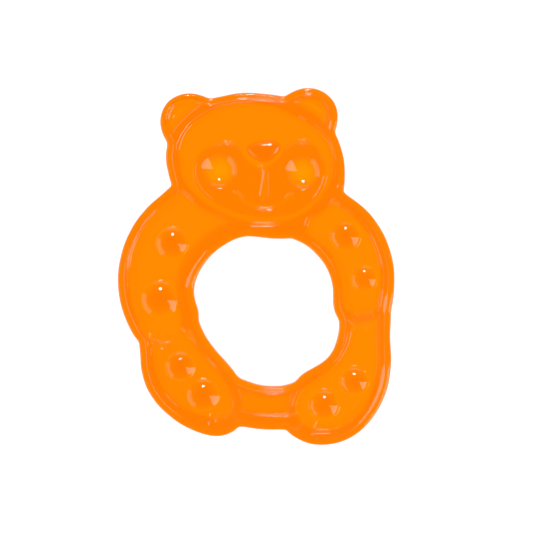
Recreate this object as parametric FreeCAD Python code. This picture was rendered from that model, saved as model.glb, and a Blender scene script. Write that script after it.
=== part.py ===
import FreeCAD, Part
import os
import math

# Bear-shaped teething ring: one soft, clear-tinted elastomer moulding laid flat, face up.
# Frame: millimetres, origin under the middle of the ring on the resting plane,
# +Z up out of the face, +Y towards the top of the head.
# "left" and "right" are as seen by someone looking at the face.
# The moulding is divided at its own design lines (where one limb laps another) into
# closed solids that meet face to face.

os.makedirs("parts", exist_ok=True)

# ---------------------------------------------------------------- driving dimensions (mm)
RIM_TOP = 9.0            # height of every raised rim above the resting plane
EDGE_ROUND = 1.4         # rounding of the outer edges, face side and back side
PANEL_DEPTH = 1.0        # how far the panels lie below the rims on the face
STEP_WIDTH = 0.95        # width of the sloping step between rim and panel
BACK_DEPTH = 0.3         # how far the back panels lie above the resting plane
BACK_INSET = 0.9         # the back panels keep this much wider a rim than the face panels
MASK_HEIGHT = 1.0        # muzzle mask above the face panel
MASK_ROUND = 0.7
NOSE_HEIGHT = 1.9        # nose above the face panel
NOSE_CENTRE = (2.4, 35.9)
NOSE_CROWN_R = 9.0       # radius of the nose's domed top
EYE_MOUTH_R = 5.2        # radius of each eye dimple at its mouth
EYE_DEPTH = 2.25          # depth of the eye dimples below the mask's top
EYE_CENTRES = [(-10.8, 28.8), (14.2, 29.0)]
EAR_DISH_DEPTH = 2.2     # hollow of each ear on the face side
SMILE_R = 0.55           # half-round groove of the smile
PHILTRUM_R = 0.6         # groove between nose and smile
CHIN_DOT_R = 0.6
FINGER_R = 0.55          # grooves that part the fingers and the toes
# nub: node, x, y, base radius, height above the panel
NUBS = [
    ("left_arm_nub_upper", -26.3, 7.9, 4.8, 2.3),
    ("left_arm_nub_lower", -30.1, -9.8, 5.1, 2.4),
    ("left_leg_nub_upper", -23.6, -30.5, 4.3, 2.2),
    ("left_leg_nub_lower", -16.5, -39.4, 4.5, 2.3),
    ("right_arm_nub_upper", 27.7, 9.6, 4.1, 2.1),
    ("right_arm_nub_lower", 33.1, -3.3, 3.6, 1.9),
    ("right_leg_nub_upper", 30.3, -35.2, 4.0, 2.1),
    ("right_leg_nub_lower", 21.0, -42.6, 4.0, 2.1),
]

# ---------------------------------------------------------------- plan outlines (mm)
# Smooth closed curves at the widest section. Stretches hidden under a neighbour
# only run on smoothly; the neighbour's own outline trims them.
HEAD = [
    (-14.3, 51.9), (-10.6, 52.8), (-6.7, 53.6), (-2.9, 53.9), (1.0, 53.7), (5.0, 53.3),
    (8.8, 52.5), (12.3, 50.6), (16.0, 48.4), (19.1, 46.2), (21.9, 43.7), (24.4, 41.3),
    (25.9, 38.1), (27.0, 34.4), (27.5, 30.7), (27.5, 26.9), (27.0, 23.4), (25.3, 20.9),
    (22.9, 18.5), (19.8, 16.1), (16.0, 14.0), (12.0, 12.4), (7.4, 11.5), (2.7, 11.3),
    (-1.9, 11.8), (-6.0, 12.8), (-9.7, 14.0), (-12.8, 15.4), (-15.9, 17.1), (-18.7, 19.0),
    (-21.3, 21.1), (-24.0, 23.3), (-26.2, 25.4), (-27.2, 28.4), (-27.9, 31.7),
    (-28.0, 35.1), (-27.3, 38.6), (-25.6, 42.0), (-22.6, 45.6), (-18.7, 49.0),
]
LEFT_EAR = [
    (-14.3, 51.9), (-17.4, 53.2), (-21.0, 53.7), (-24.3, 53.0), (-27.3, 51.1),
    (-29.1, 48.3), (-29.8, 45.0), (-29.2, 41.5), (-27.6, 38.4), (-25.2, 36.3),
    (-21.5, 36.2), (-17.0, 38.6), (-13.5, 42.8), (-12.0, 47.0), (-12.4, 50.1),
]
RIGHT_EAR = [
    (8.8, 52.7), (11.7, 54.4), (15.0, 55.3), (18.3, 55.1), (21.5, 53.7), (23.9, 51.3),
    (25.2, 48.1), (25.2, 44.7), (24.3, 41.4), (22.3, 38.8), (19.0, 38.2), (14.6, 40.4),
    (10.2, 44.6), (7.4, 48.4), (7.2, 51.0),
]
NECK = [
    (-2.3, 9.5), (0.9, 9.0), (4.2, 8.6), (7.4, 8.5), (10.4, 8.8), (12.0, 10.1),
    (12.3, 12.6), (10.6, 15.0), (7.0, 16.0), (3.0, 16.2), (-1.0, 16.0), (-3.8, 14.6),
    (-4.4, 12.2), (-3.8, 10.4),
]
LEFT_ARM = [
    (-26.2, 25.1), (-29.1, 22.5), (-32.2, 19.9), (-35.0, 17.0), (-37.4, 13.9),
    (-39.4, 10.4), (-41.0, 6.7), (-42.1, 2.8), (-42.8, -1.3), (-42.9, -5.3),
    (-42.5, -9.4), (-41.6, -13.3), (-40.2, -17.1), (-38.4, -20.7), (-36.2, -23.3),
    (-33.4, -24.0), (-29.8, -23.7), (-26.1, -23.3), (-22.9, -22.0), (-20.2, -19.6),
    (-18.3, -17.2), (-17.7, -14.8), (-18.3, -12.0), (-19.1, -8.7), (-18.9, -5.5),
    (-17.8, -2.3), (-16.1, 0.6), (-13.9, 3.3), (-11.4, 5.5), (-8.6, 7.3), (-5.5, 8.7),
    (-2.3, 9.5), (0.0, 10.9), (0.2, 13.6), (-2.0, 17.0), (-6.5, 20.5), (-12.5, 23.8),
    (-19.0, 26.2), (-23.5, 26.6),
]
RIGHT_ARM = [
    (27.0, 23.2), (29.9, 21.0), (33.0, 18.6), (35.6, 16.0), (37.8, 13.0), (39.7, 9.8),
    (41.1, 6.4), (42.2, 2.7), (42.8, -1.0), (42.9, -4.7), (42.7, -8.5), (42.2, -12.0),
    (41.1, -14.8), (38.9, -16.0), (36.2, -16.9), (33.4, -17.6), (30.3, -17.8),
    (27.4, -17.4), (25.3, -16.0), (24.2, -13.9), (23.7, -10.7), (23.7, -7.5),
    (23.2, -4.4), (22.2, -1.5), (20.6, 1.3), (18.5, 3.8), (16.2, 5.9), (13.6, 7.5),
    (10.7, 8.8), (8.6, 10.4), (8.0, 13.0), (9.8, 16.4), (13.6, 19.8), (18.2, 22.8),
    (23.0, 24.8), (25.5, 24.4),
]
LEFT_LEG = [
    (-36.3, -23.9), (-36.0, -27.4), (-35.8, -30.9), (-35.1, -34.4), (-34.0, -37.6),
    (-32.2, -40.7), (-30.0, -43.5), (-27.4, -45.9), (-24.6, -48.1), (-21.5, -49.9),
    (-18.3, -51.3), (-15.0, -52.3), (-11.5, -52.6), (-8.1, -51.7), (-5.6, -49.8),
    (-4.5, -46.8), (-4.3, -42.6), (-4.7, -38.6), (-5.6, -34.4), (-7.4, -31.6),
    (-9.5, -29.1), (-11.7, -26.7), (-13.8, -24.1), (-15.6, -21.4), (-17.0, -18.5),
    (-18.3, -15.6), (-20.5, -13.2), (-24.3, -12.0), (-29.0, -13.0), (-33.2, -16.2),
    (-35.8, -20.2),
]
RIGHT_LEG = [
    (9.4, -50.6), (12.4, -53.2), (16.4, -54.9), (20.5, -55.3), (24.7, -54.8),
    (28.6, -53.4), (32.2, -51.1), (35.2, -48.1), (37.6, -44.7), (39.5, -41.0),
    (40.9, -36.9), (41.6, -32.8), (41.9, -28.6), (41.7, -24.4), (41.6, -20.1),
    (41.8, -15.9), (41.0, -12.4), (38.0, -10.2), (33.2, -9.6), (28.6, -10.6),
    (26.1, -13.2), (25.6, -16.6), (25.5, -19.7), (24.8, -22.9), (23.7, -25.8),
    (21.9, -28.3), (19.3, -30.3), (16.6, -31.8), (14.0, -33.5), (12.0, -35.7),
    (10.7, -38.6), (10.1, -41.7), (9.6, -44.9), (9.0, -47.9),
]
BRIDGE = [
    (-5.2, -49.6), (-2.3, -50.0), (0.6, -50.4), (3.4, -50.6), (6.4, -50.6),
    (9.3, -50.6), (13.0, -50.2), (16.0, -48.0), (17.0, -43.5), (16.0, -39.0),
    (14.0, -36.3), (11.7, -35.9), (9.0, -36.6), (6.0, -36.9), (2.9, -36.8),
    (0.2, -36.3), (-2.6, -35.4), (-5.6, -34.3), (-9.0, -34.0), (-12.0, -36.4),
    (-13.0, -41.5), (-12.0, -46.5), (-9.0, -49.0),
]

# floor outlines of the recessed panels
HEAD_PANEL = [
    (-23.0, 32.1), (-23.4, 35.5), (-22.7, 38.6), (-20.5, 42.5), (-15.9, 46.3),
    (-9.7, 48.8), (-4.3, 49.8), (1.5, 49.4), (7.4, 48.1), (13.2, 45.2), (18.2, 42.1),
    (21.3, 38.9), (23.0, 35.8), (23.3, 32.4), (22.9, 28.7), (21.6, 25.0), (19.1, 21.2),
    (15.7, 18.0), (11.4, 15.5), (6.7, 14.2), (2.1, 13.9), (-2.9, 14.5), (-8.1, 16.2),
    (-13.4, 18.9), (-17.7, 22.0), (-20.8, 25.4), (-22.6, 28.8),
]
LEFT_EAR_DISH = [
    (-25.8, 48.5), (-24.1, 50.3), (-21.2, 51.1), (-19.0, 50.9), (-17.5, 48.5),
    (-20.3, 45.3), (-23.0, 42.3), (-25.0, 41.4), (-26.6, 43.1), (-26.8, 45.9),
]
RIGHT_EAR_DISH = [
    (13.6, 50.7), (15.8, 51.5), (18.3, 51.2), (20.4, 49.8), (21.5, 47.6),
    (21.2, 45.2), (19.5, 43.6), (16.6, 45.0), (13.4, 47.6), (12.3, 49.4),
]
LEFT_ARM_PANEL = [
    (-22.4, 21.5), (-26.1, 19.0), (-30.5, 15.1), (-33.6, 10.7), (-36.0, 5.8),
    (-37.1, 1.7), (-37.5, -3.2), (-37.2, -7.6), (-36.4, -11.6), (-35.0, -15.7),
    (-33.4, -19.1), (-31.9, -20.9), (-29.2, -21.5), (-26.1, -21.6), (-23.5, -20.9),
    (-21.9, -18.8), (-21.6, -15.0), (-22.2, -10.7), (-22.8, -7.3), (-23.0, -4.5),
    (-22.7, -1.1), (-21.5, 1.7), (-19.2, 5.1), (-16.4, 7.9), (-12.6, 10.3),
    (-8.6, 12.6), (-7.0, 15.3), (-9.7, 19.3), (-15.4, 22.6), (-19.6, 23.2),
]
RIGHT_ARM_PANEL = [
    (23.8, 19.0), (27.3, 17.2), (30.8, 14.4), (34.2, 10.8), (36.6, 6.1), (38.0, 1.2),
    (38.4, -3.3), (37.9, -7.9), (36.8, -11.2), (34.5, -13.0), (31.5, -13.5),
    (29.3, -12.2), (28.5, -8.0), (27.8, -3.8), (26.6, 0.7), (24.6, 4.8), (21.8, 7.9),
    (18.7, 10.2), (17.3, 11.8), (17.9, 13.8), (19.7, 16.0), (21.7, 18.2),
]
LEFT_LEG_PANEL = [
    (-31.4, -23.7), (-31.2, -28.4), (-30.5, -32.1), (-28.9, -36.1), (-26.6, -39.5),
    (-23.6, -42.3), (-20.1, -44.3), (-16.0, -45.7), (-12.2, -46.4), (-9.4, -45.9),
    (-7.9, -43.7), (-8.3, -40.5), (-9.5, -37.0), (-11.6, -33.8), (-14.3, -30.5),
    (-17.7, -26.8), (-19.9, -23.4), (-21.5, -20.0), (-24.3, -17.5), (-28.0, -17.2),
    (-30.6, -19.7),
]
RIGHT_LEG_PANEL = [
    (36.8, -18.4), (37.1, -23.5), (37.1, -28.6), (36.5, -34.5), (34.8, -39.5),
    (31.9, -43.4), (28.4, -46.7), (25.0, -48.5), (21.3, -49.1), (17.6, -48.5),
    (15.0, -46.8), (13.7, -44.3), (14.0, -41.7), (15.3, -39.4), (17.2, -37.6),
    (20.0, -35.9), (23.5, -33.2), (27.0, -29.6), (29.2, -26.0), (30.5, -22.2),
    (30.9, -18.3), (31.4, -15.2), (33.7, -13.6), (36.0, -15.2),
]
BRIDGE_PANEL = [
    (-7.8, -38.6), (-5.0, -38.7), (-1.9, -39.5), (1.2, -40.1), (4.3, -40.5),
    (7.4, -40.4), (11.1, -39.7), (14.0, -39.9), (15.1, -42.6), (14.0, -45.1),
    (11.1, -45.4), (7.4, -45.5), (2.7, -45.3), (-1.9, -44.7), (-5.0, -44.2),
    (-7.8, -43.9), (-8.8, -41.3),
]
MASK = [
    (-14.3, 36.9), (-11.2, 37.9), (-8.1, 38.2), (-6.0, 37.3), (-4.4, 34.5), (-2.2, 31.9),
    (0.1, 30.6), (2.7, 30.5), (5.5, 32.0), (7.9, 34.5), (9.7, 36.9), (12.6, 38.4),
    (16.0, 38.2), (18.5, 36.7), (20.3, 33.9), (21.3, 30.8), (21.3, 27.7), (20.3, 24.5),
    (18.2, 21.3), (15.0, 18.6), (11.2, 16.5), (6.7, 15.4), (1.8, 15.1), (-2.9, 15.8),
    (-6.3, 16.8), (-9.7, 18.2), (-14.2, 20.9), (-17.3, 23.9), (-18.8, 27.0),
    (-19.1, 30.4), (-18.2, 33.4), (-16.5, 35.5),
]
NOSE = [
    (-3.0, 36.5), (-0.8, 38.2), (2.4, 38.9), (5.7, 38.8), (7.6, 37.1), (6.1, 34.3),
    (2.4, 32.3), (-1.4, 34.0),
]
SMILE = [(-6.2, 22.8), (-4.3, 20.5), (-1.0, 19.1), (2.7, 18.5), (5.8, 18.8),
         (8.6, 20.1), (10.6, 22.2)]
PHILTRUM = [(3.0, 30.0), (2.5, 21.4)]
CHIN_DOT = (2.3, 16.9)
# grooves between fingers and toes: start (on the panel) and end (over the outer edge)
LEFT_HAND_CUTS = [((-32.3, -20.6), (-33.2, -24.6)), ((-29.0, -21.0), (-29.2, -25.0)),
                  ((-25.6, -20.8), (-24.9, -24.6)), ((-23.2, -19.6), (-20.6, -22.0))]
RIGHT_HAND_CUTS = [((35.9, -13.3), (37.6, -17.6)), ((33.4, -14.4), (34.2, -18.8)),
                   ((30.8, -14.4), (30.4, -18.9))]
LEFT_FOOT_CUTS = [((-13.9, -45.4), (-14.4, -49.4)), ((-11.4, -45.6), (-11.3, -49.6)),
                  ((-8.2, -44.8), (-5.8, -47.4))]
RIGHT_FOOT_CUTS = [((14.6, -44.9), (10.6, -46.3)), ((15.9, -46.8), (12.8, -49.8)),
                   ((19.0, -48.0), (17.6, -52.0))]

PANEL_TOP = RIM_TOP - PANEL_DEPTH
MASK_TOP = PANEL_TOP + MASK_HEIGHT


# ---------------------------------------------------------------- helpers
def vec(p, z):
    return FreeCAD.Vector(p[0], p[1], z)


def curve(points, z):
    c = Part.BSplineCurve()
    c.interpolate(Points=[vec(p, z) for p in points], PeriodicFlag=True)
    return c


def area(points):
    return 0.5 * sum(a[0] * b[1] - b[0] * a[1]
                     for a, b in zip(points, points[1:] + points[:1]))


def grown(points, d, per_point=2):
    """Outline moved outwards by d (inwards if negative), sampled on the smooth curve."""
    c = curve(points, 0.0)
    n = len(points) * per_point
    t0, t1 = c.FirstParameter, c.LastParameter
    side = 1.0 if area(points) > 0 else -1.0
    out = []
    for i in range(n):
        t = t0 + (t1 - t0) * i / n
        p = c.value(t)
        (tx, ty, tz) = c.tangent(t)[0]
        l = math.hypot(tx, ty)
        out.append((p.x + side * d * ty / l, p.y - side * d * tx / l))
    return out


def wire(points, z):
    return Part.Wire([curve(points, z).toShape()])


def prism(points, z0, z1):
    return Part.Face(wire(points, z0)).extrude(FreeCAD.Vector(0, 0, z1 - z0))


def trim(points):
    return prism(points, -2.0, RIM_TOP + 4.0)


def body(points, z0=0.0, z1=None, r_top=EDGE_ROUND, r_bottom=EDGE_ROUND):
    """Slab with this plan outline and rounded edges, top and bottom."""
    z1 = RIM_TOP if z1 is None else z1
    s = prism(points, z0, z1)
    for z, r in ((z1, r_top), (z0, r_bottom)):
        if r > 0:
            edges = [e for e in s.Edges if abs(e.BoundBox.ZMin - z) < 1e-4
                     and abs(e.BoundBox.ZMax - z) < 1e-4]
            s = s.makeFillet(r, edges)
    return s


def pocket(floor, depth, top=RIM_TOP, width=STEP_WIDTH):
    """Cutter for a panel: flat floor, sloping step up to the rim."""
    over = 0.5
    lo = grown(floor, 0.0)
    hi = grown(floor, width * (depth + over) / depth)
    return Part.makeLoft([wire(lo, top - depth), wire(hi, top + over)], True, True)


def back_pocket(floor, depth=BACK_DEPTH, width=STEP_WIDTH):
    over = 0.5
    lo = grown(floor, -BACK_INSET)
    hi = grown(floor, -BACK_INSET + width * (depth + over) / depth)
    return Part.makeLoft([wire(hi, -over), wire(lo, depth)], True, True)


def cap(x, y, r, h, z):
    """Spherical nub standing on the plane z."""
    big = (r * r + h * h) / (2.0 * h)
    ball = Part.makeSphere(big, FreeCAD.Vector(x, y, z + h - big))
    box = Part.makeBox(4 * r, 4 * r, h + 1.0, FreeCAD.Vector(x - 2 * r, y - 2 * r, z))
    return ball.common(box)


def dimple(x, y, r, d, z):
    big = (r * r + d * d) / (2.0 * d)
    return Part.makeSphere(big, FreeCAD.Vector(x, y, z - d + big))


def groove(p, q, r, z):
    """Round-ended half-round groove cutter from p to q, centred on the height z."""
    a, b = vec(p, z), vec(q, z)
    d = b - a
    c = Part.makeCylinder(r, d.Length, a, d)
    return c.fuse(Part.makeSphere(r, a)).fuse(Part.makeSphere(r, b))


def solid(shape):
    return sorted(shape.Solids, key=lambda k: -k.Volume)[0]


# ---------------------------------------------------------------- cutting tools
t_head, t_neck = trim(HEAD), trim(NECK)
t_left_arm, t_right_arm = trim(LEFT_ARM), trim(RIGHT_ARM)
t_left_leg, t_right_leg = trim(LEFT_LEG), trim(RIGHT_LEG)
eyes = [dimple(x, y, EYE_MOUTH_R, EYE_DEPTH, MASK_TOP) for x, y in EYE_CENTRES]

nodes = {}

# ---------------------------------------------------------------- head and face
head = body(HEAD)
head = head.cut(pocket(HEAD_PANEL, PANEL_DEPTH)).cut(back_pocket(HEAD_PANEL))
for e in eyes:
    head = head.cut(e)
nodes["head"] = head

mask = body(MASK, PANEL_TOP, MASK_TOP, MASK_ROUND, 0.0)
for e in eyes:
    mask = mask.cut(e)
smile = Part.BSplineCurve()
smile.interpolate([vec(p, MASK_TOP) for p in SMILE])
smile_path = Part.Wire([smile.toShape()])
t = smile.tangent(smile.FirstParameter)[0]
ring = Part.Wire([Part.makeCircle(SMILE_R, smile.value(smile.FirstParameter),
                                  FreeCAD.Vector(t[0], t[1], t[2]))])
mask = mask.cut(smile_path.makePipeShell([ring], True, False))
mask = mask.cut(Part.makeSphere(SMILE_R, smile.value(smile.FirstParameter)))
mask = mask.cut(Part.makeSphere(SMILE_R, smile.value(smile.LastParameter)))
mask = mask.cut(groove(PHILTRUM[0], PHILTRUM[1], PHILTRUM_R, MASK_TOP))
mask = mask.cut(Part.makeSphere(CHIN_DOT_R, vec(CHIN_DOT, MASK_TOP)))
nodes["muzzle_mask"] = mask
nodes["nose"] = prism(NOSE, PANEL_TOP, PANEL_TOP + NOSE_HEIGHT + 1.0).common(
    Part.makeSphere(NOSE_CROWN_R, vec(NOSE_CENTRE, PANEL_TOP + NOSE_HEIGHT - NOSE_CROWN_R)))

# ---------------------------------------------------------------- ears
for name, outline, dish in (("left_ear", LEFT_EAR, LEFT_EAR_DISH),
                            ("right_ear", RIGHT_EAR, RIGHT_EAR_DISH)):
    ear = body(outline).cut(pocket(dish, EAR_DISH_DEPTH, width=1.1)).cut(t_head)
    nodes[name] = ear

# ---------------------------------------------------------------- limbs
nodes["neck"] = body(NECK).cut(t_head)


def limb(outline, panel, trims, cuts=()):
    s = body(outline)
    s = s.cut(pocket(panel, PANEL_DEPTH)).cut(back_pocket(panel))
    for a, b in cuts:
        s = s.cut(groove(a, b, FINGER_R, RIM_TOP))
    for k in trims:
        s = s.cut(k)
    return s


nodes["left_arm"] = limb(LEFT_ARM, LEFT_ARM_PANEL, (t_head, t_neck), LEFT_HAND_CUTS)
nodes["right_arm"] = limb(RIGHT_ARM, RIGHT_ARM_PANEL, (t_head, t_neck), RIGHT_HAND_CUTS)
nodes["left_leg"] = limb(LEFT_LEG, LEFT_LEG_PANEL, (t_left_arm,), LEFT_FOOT_CUTS)
nodes["right_leg"] = limb(RIGHT_LEG, RIGHT_LEG_PANEL, (t_right_arm,), RIGHT_FOOT_CUTS)
nodes["foot_bridge"] = limb(BRIDGE, BRIDGE_PANEL, (t_left_leg, t_right_leg))

# ---------------------------------------------------------------- nubs
for name, x, y, r, h in NUBS:
    nodes[name] = cap(x, y, r, h, PANEL_TOP)

# ---------------------------------------------------------------- output
for name in sorted(nodes):
    extra = [k.Volume for k in nodes[name].Solids]
    s = solid(nodes[name])
    if not s.isValid() or sum(extra) - s.Volume > 0.05:
        raise ValueError("%s is not one valid solid: %s" % (name, extra))
    bb = s.BoundBox
    print("%-22s vol %9.2f  x %.2f..%.2f y %.2f..%.2f z %.2f..%.2f faces %d" % (
        name, s.Volume, bb.XMin, bb.XMax, bb.YMin, bb.YMax, bb.ZMin, bb.ZMax, len(s.Faces)))
    s.exportStep("parts/%s.step" % name)
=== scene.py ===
import math
import bpy
import numpy as np
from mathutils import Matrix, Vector, geometry


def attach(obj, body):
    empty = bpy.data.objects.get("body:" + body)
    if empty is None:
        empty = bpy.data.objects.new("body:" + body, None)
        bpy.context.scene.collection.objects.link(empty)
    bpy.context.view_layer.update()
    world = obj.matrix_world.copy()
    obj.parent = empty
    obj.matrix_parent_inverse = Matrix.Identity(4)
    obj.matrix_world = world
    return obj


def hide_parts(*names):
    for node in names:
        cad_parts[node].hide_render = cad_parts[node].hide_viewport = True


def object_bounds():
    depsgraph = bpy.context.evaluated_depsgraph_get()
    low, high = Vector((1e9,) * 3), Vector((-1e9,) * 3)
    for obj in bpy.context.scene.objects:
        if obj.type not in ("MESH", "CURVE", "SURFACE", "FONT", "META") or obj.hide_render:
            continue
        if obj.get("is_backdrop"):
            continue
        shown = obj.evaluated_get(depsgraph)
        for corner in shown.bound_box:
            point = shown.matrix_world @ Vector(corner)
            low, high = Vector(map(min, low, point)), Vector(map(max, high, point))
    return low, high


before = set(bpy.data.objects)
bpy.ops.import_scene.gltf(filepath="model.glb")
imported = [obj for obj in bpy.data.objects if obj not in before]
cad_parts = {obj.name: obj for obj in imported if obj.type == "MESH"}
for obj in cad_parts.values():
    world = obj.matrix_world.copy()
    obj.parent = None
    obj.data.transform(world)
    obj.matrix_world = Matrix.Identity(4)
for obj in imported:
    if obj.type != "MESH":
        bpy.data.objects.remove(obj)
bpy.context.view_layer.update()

# Everything below is worked out in millimetres and written to Blender in metres.
MM = 0.001

# ------------------------------------------------------------------ driving sizes (mm)
RIM = 9.0             # crest of every raised rim
MID = 4.5             # height of the parting line
EDGE_R = 1.0          # rounding of the face-side edge
EDGE_R_WIDE = 1.3    # the same along the hand hole's left and lower sides
LIP_TILT = math.radians(14.0)   # the lip falls gently outwards to the edge rounding
LIP_TILT_WIDE = math.radians(6.0)
BACK_R = 0.22         # rounding of the back edge
CREASE = 1.95         # the rim's bead starts this far in from the edge
BEAD_TILT = math.radians(57.0)
CREST = 2.75          # the bead's crest, this far in from the edge
CREST_WIDE = 3.35     # the same along the hand hole's left and lower sides
BACK_DEPTH = 0.3
BACK_INSET = 0.9
NUB_HOLLOW = 0.8      # each nub is cored out this deep from behind
RING_IN = 1.7         # the edge strip of the mesh is this wide
MASK_TOP = 9.0
EYES = [(-11.4, 29.7, 7.1), (14.45, 29.1, 6.9)]      # x, y, radius of the hollow
EYE_TILT = math.radians(50.5)                        # its slope at the rim
# nub: x, y, sphere radius, height above its panel
NUBS = [
    (-26.0, 7.35, 6.6, 2.42), (-29.7, -10.1, 8.2, 2.45), (-23.5, -30.9, 6.0, 2.42),
    (-16.4, -39.7, 6.8, 2.45), (27.6, 9.4, 6.1, 2.4), (33.4, -3.7, 5.3, 2.15),
    (30.3, -35.4, 5.7, 2.35), (21.0, -42.8, 6.1, 2.4),
]
# height of each panel floor on the face side
FLOOR = {"head": 7.85, "left_arm": 7.9, "right_arm": 7.8, "left_leg": 8.1,
         "right_leg": 7.75, "bridge": 8.3}

# ------------------------------------------------------------------ outlines (mm), as in the CAD part
HEAD = [
    (-14.3, 51.9), (-10.6, 52.8), (-6.7, 53.6), (-2.9, 53.9), (1.0, 53.7), (5.0, 53.3),
    (8.8, 52.5), (12.3, 50.6), (16.0, 48.4), (19.1, 46.2), (21.9, 43.7), (24.4, 41.3),
    (25.9, 38.1), (27.0, 34.4), (27.5, 30.7), (27.5, 26.9), (27.0, 23.4), (25.3, 20.9),
    (22.9, 18.5), (19.8, 16.1), (16.0, 14.0), (12.0, 12.4), (7.4, 11.5), (2.7, 11.3),
    (-1.9, 11.8), (-6.0, 12.8), (-9.7, 14.0), (-12.8, 15.4), (-15.9, 17.1), (-18.7, 19.0),
    (-21.3, 21.1), (-24.0, 23.3), (-26.2, 25.4), (-27.2, 28.4), (-27.9, 31.7),
    (-28.0, 35.1), (-27.3, 38.6), (-25.6, 42.0), (-22.6, 45.6), (-18.7, 49.0),
]
LEFT_EAR = [
    (-14.3, 51.9), (-17.4, 53.2), (-21.0, 53.7), (-24.3, 53.0), (-27.3, 51.1),
    (-29.1, 48.3), (-29.8, 45.0), (-29.2, 41.5), (-27.6, 38.4), (-25.2, 36.3),
    (-21.5, 36.2), (-17.0, 38.6), (-13.5, 42.8), (-12.0, 47.0), (-12.4, 50.1),
]
RIGHT_EAR = [
    (8.8, 52.7), (11.7, 54.4), (15.0, 55.3), (18.3, 55.1), (21.5, 53.7), (23.9, 51.3),
    (25.2, 48.1), (25.2, 44.7), (24.3, 41.4), (22.3, 38.8), (19.0, 38.2), (14.6, 40.4),
    (10.2, 44.6), (7.4, 48.4), (7.2, 51.0),
]
NECK = [
    (-2.3, 9.5), (0.9, 9.0), (4.2, 8.6), (7.4, 8.5), (10.4, 8.8), (12.0, 10.1),
    (12.3, 12.6), (10.6, 15.0), (7.0, 16.0), (3.0, 16.2), (-1.0, 16.0), (-3.8, 14.6),
    (-4.4, 12.2), (-3.8, 10.4),
]
LEFT_ARM = [
    (-26.2, 25.1), (-29.1, 22.5), (-32.2, 19.9), (-35.0, 17.0), (-37.4, 13.9),
    (-39.4, 10.4), (-41.0, 6.7), (-42.1, 2.8), (-42.8, -1.3), (-42.9, -5.3),
    (-42.5, -9.4), (-41.6, -13.3), (-40.2, -17.1), (-38.4, -20.7), (-36.2, -23.3),
    (-33.4, -24.0), (-29.8, -23.7), (-26.1, -23.3), (-22.9, -22.0), (-20.2, -19.6),
    (-18.3, -17.2), (-17.7, -14.8), (-18.3, -12.0), (-19.1, -8.7), (-18.9, -5.5),
    (-17.8, -2.3), (-16.1, 0.6), (-13.9, 3.3), (-11.4, 5.5), (-8.6, 7.3), (-5.5, 8.7),
    (-2.3, 9.5), (0.0, 10.9), (0.2, 13.6), (-2.0, 17.0), (-6.5, 20.5), (-12.5, 23.8),
    (-19.0, 26.2), (-23.5, 26.6),
]
RIGHT_ARM = [
    (27.0, 23.2), (29.9, 21.0), (33.0, 18.6), (35.6, 16.0), (37.8, 13.0), (39.7, 9.8),
    (41.1, 6.4), (42.2, 2.7), (42.8, -1.0), (42.9, -4.7), (42.7, -8.5), (42.2, -12.0),
    (41.1, -14.8), (38.9, -16.0), (36.2, -16.9), (33.4, -17.6), (30.3, -17.8),
    (27.4, -17.4), (25.3, -16.0), (24.2, -13.9), (23.7, -10.7), (23.7, -7.5),
    (23.2, -4.4), (22.2, -1.5), (20.6, 1.3), (18.5, 3.8), (16.2, 5.9), (13.6, 7.5),
    (10.7, 8.8), (8.6, 10.4), (8.0, 13.0), (9.8, 16.4), (13.6, 19.8), (18.2, 22.8),
    (23.0, 24.8), (25.5, 24.4),
]
LEFT_LEG = [
    (-36.3, -23.9), (-36.0, -27.4), (-35.8, -30.9), (-35.1, -34.4), (-34.0, -37.6),
    (-32.2, -40.7), (-30.0, -43.5), (-27.4, -45.9), (-24.6, -48.1), (-21.5, -49.9),
    (-18.3, -51.3), (-15.0, -52.3), (-11.5, -52.6), (-8.1, -51.7), (-5.6, -49.8),
    (-4.5, -46.8), (-4.3, -42.6), (-4.7, -38.6), (-5.6, -34.4), (-7.4, -31.6),
    (-9.5, -29.1), (-11.7, -26.7), (-13.8, -24.1), (-15.6, -21.4), (-17.0, -18.5),
    (-18.3, -15.6), (-20.5, -13.2), (-24.3, -12.0), (-29.0, -13.0), (-33.2, -16.2),
    (-35.8, -20.2),
]
RIGHT_LEG = [
    (9.4, -50.6), (12.4, -53.2), (16.4, -54.9), (20.5, -55.3), (24.7, -54.8),
    (28.6, -53.4), (32.2, -51.1), (35.2, -48.1), (37.6, -44.7), (39.5, -41.0),
    (40.9, -36.9), (41.6, -32.8), (41.9, -28.6), (41.7, -24.4), (41.6, -20.1),
    (41.8, -15.9), (41.0, -12.4), (38.0, -10.2), (33.2, -9.6), (28.6, -10.6),
    (26.1, -13.2), (25.6, -16.6), (25.5, -19.7), (24.8, -22.9), (23.7, -25.8),
    (21.9, -28.3), (19.3, -30.3), (16.6, -31.8), (14.0, -33.5), (12.0, -35.7),
    (10.7, -38.6), (10.1, -41.7), (9.6, -44.9), (9.0, -47.9),
]
BRIDGE = [
    (-5.2, -49.6), (-2.3, -50.0), (0.6, -50.4), (3.4, -50.6), (6.4, -50.6),
    (9.3, -50.6), (13.0, -50.2), (16.0, -48.0), (17.0, -43.5), (16.0, -39.0),
    (14.0, -36.3), (11.7, -35.9), (9.0, -36.6), (6.0, -36.9), (2.9, -36.8),
    (0.2, -36.3), (-2.6, -35.4), (-5.6, -34.3), (-9.0, -34.0), (-12.0, -36.4),
    (-13.0, -41.5), (-12.0, -46.5), (-9.0, -49.0),
]
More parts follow.
